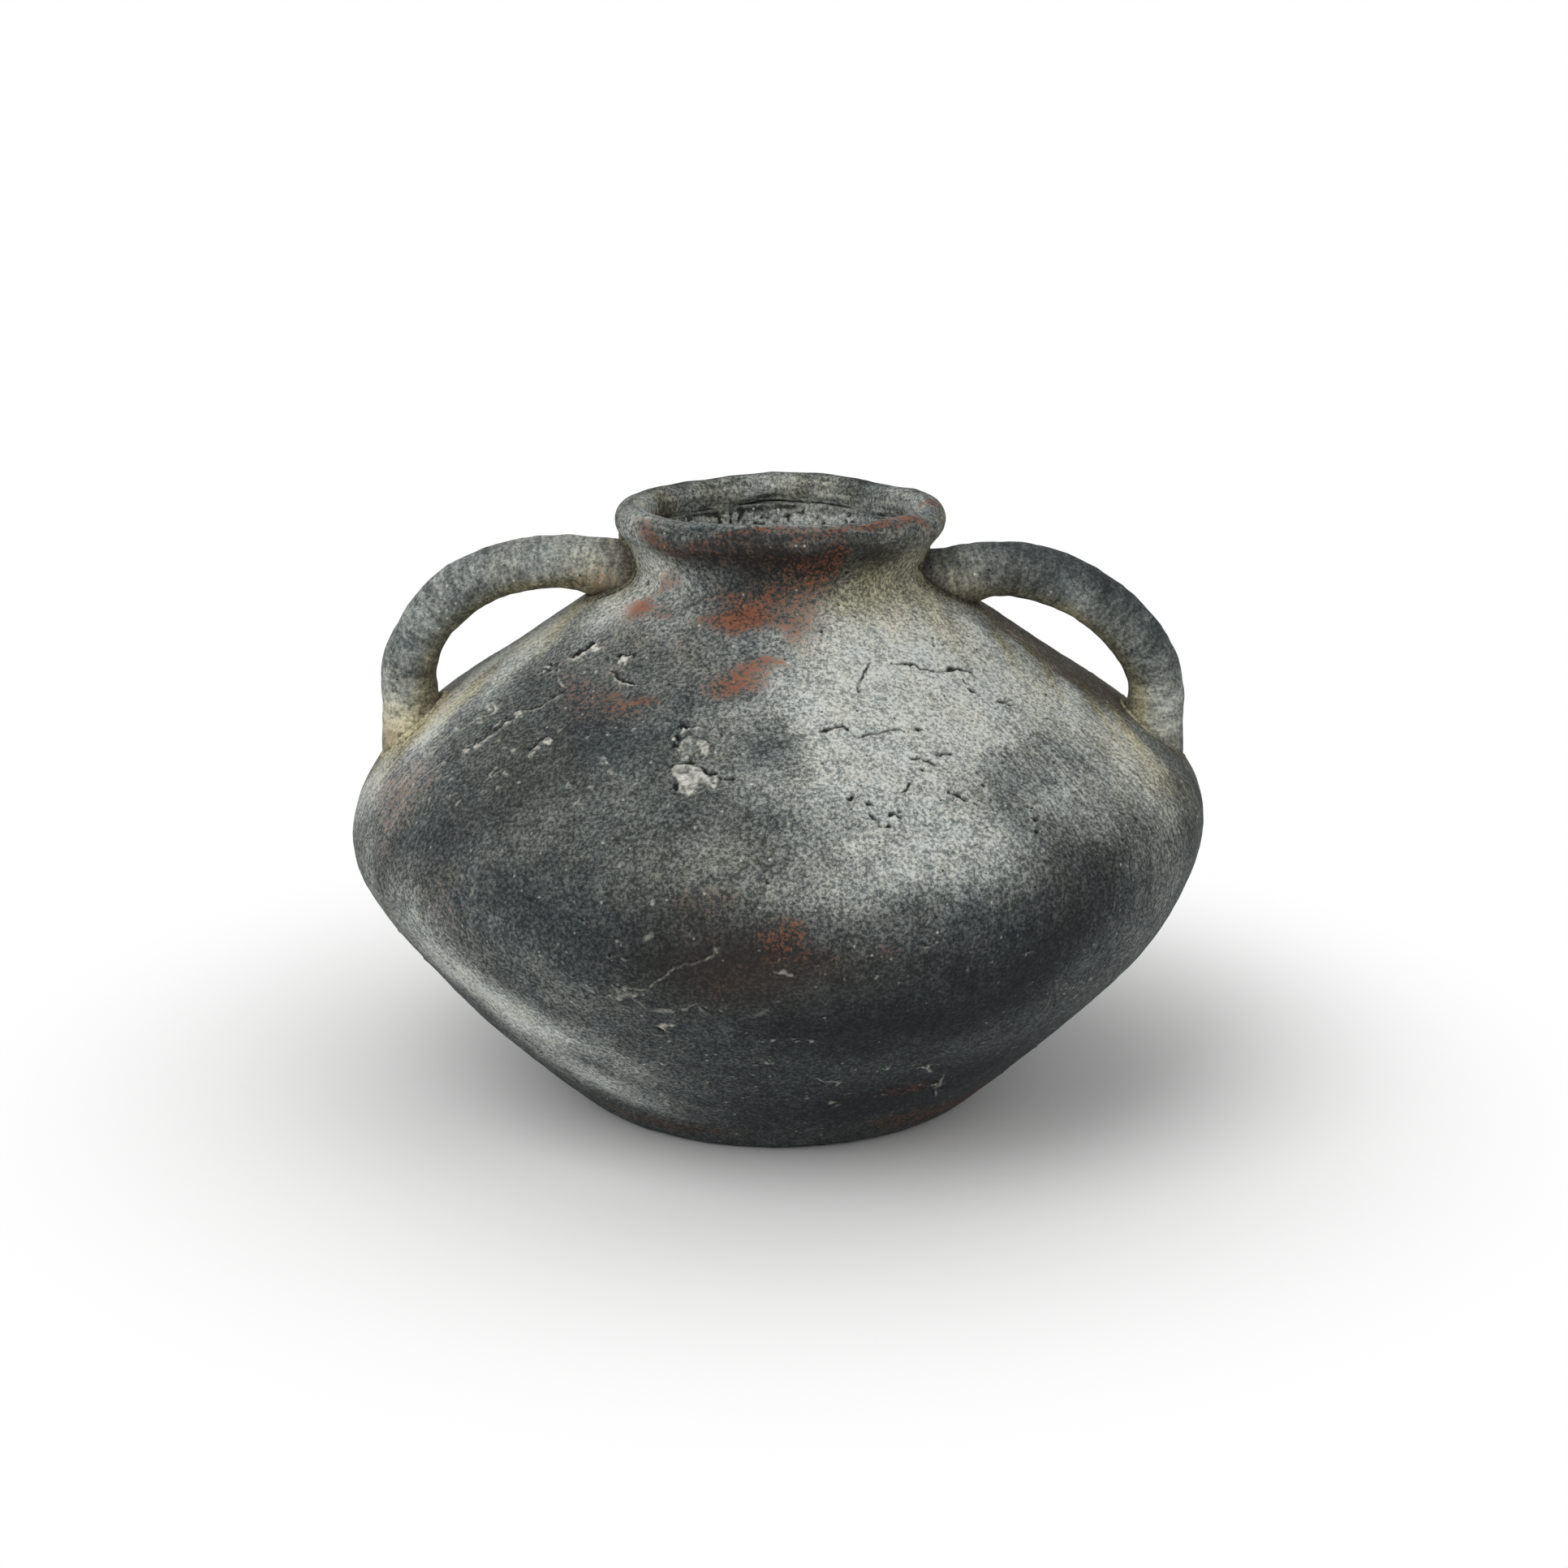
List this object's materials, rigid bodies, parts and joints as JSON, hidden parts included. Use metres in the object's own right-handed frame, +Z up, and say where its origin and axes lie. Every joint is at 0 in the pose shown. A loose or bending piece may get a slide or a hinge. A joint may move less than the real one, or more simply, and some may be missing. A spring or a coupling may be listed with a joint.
{
  "type": "handled vase",
  "caption": "Squat round earthenware vase for flowers, with a wide belly, short neck, rolled rim and an arched handle on each side, in a weathered slate, chalk and terracotta finish.",
  "frame": {"origin": "middle of the foot, on the surface that the vase stands on", "axes": "+Z up through the mouth, the handles along X with the higher one towards -X, and the front that the picture shows facing -Y"},
  "size_m": [0.235, 0.235, 0.1651],
  "materials": {
    "slate_bowl": "matte slate-grey paint dry-brushed with chalk over earthenware",
    "chalked_shoulder": "matte chalk-grey dry brushing over slate paint, with cracks and pits",
    "terracotta_neck": "matte slate and cream paint worn through to terracotta",
    "grey_rim": "matte slate-grey paint with chalk on the ridge",
    "dry_brushed_handle": "matte grey paint dry-brushed across the coil",
    "olive_slip": "matte olive-brown wash settled in the crease"
  },
  "bodies": {
    "root": {"foot_slab": "slate_bowl", "lower_bowl": "slate_bowl", "belly_band": "slate_bowl", "shoulder": "chalked_shoulder", "neck_collar": "terracotta_neck", "rim_coil": "grey_rim", "handle_left": "dry_brushed_handle", "handle_right": "dry_brushed_handle", "slip_roll_left_upper": "olive_slip", "slip_roll_left_lower": "olive_slip", "slip_roll_right_upper": "olive_slip", "slip_roll_right_lower": "olive_slip"}
  },
  "joints": []
}
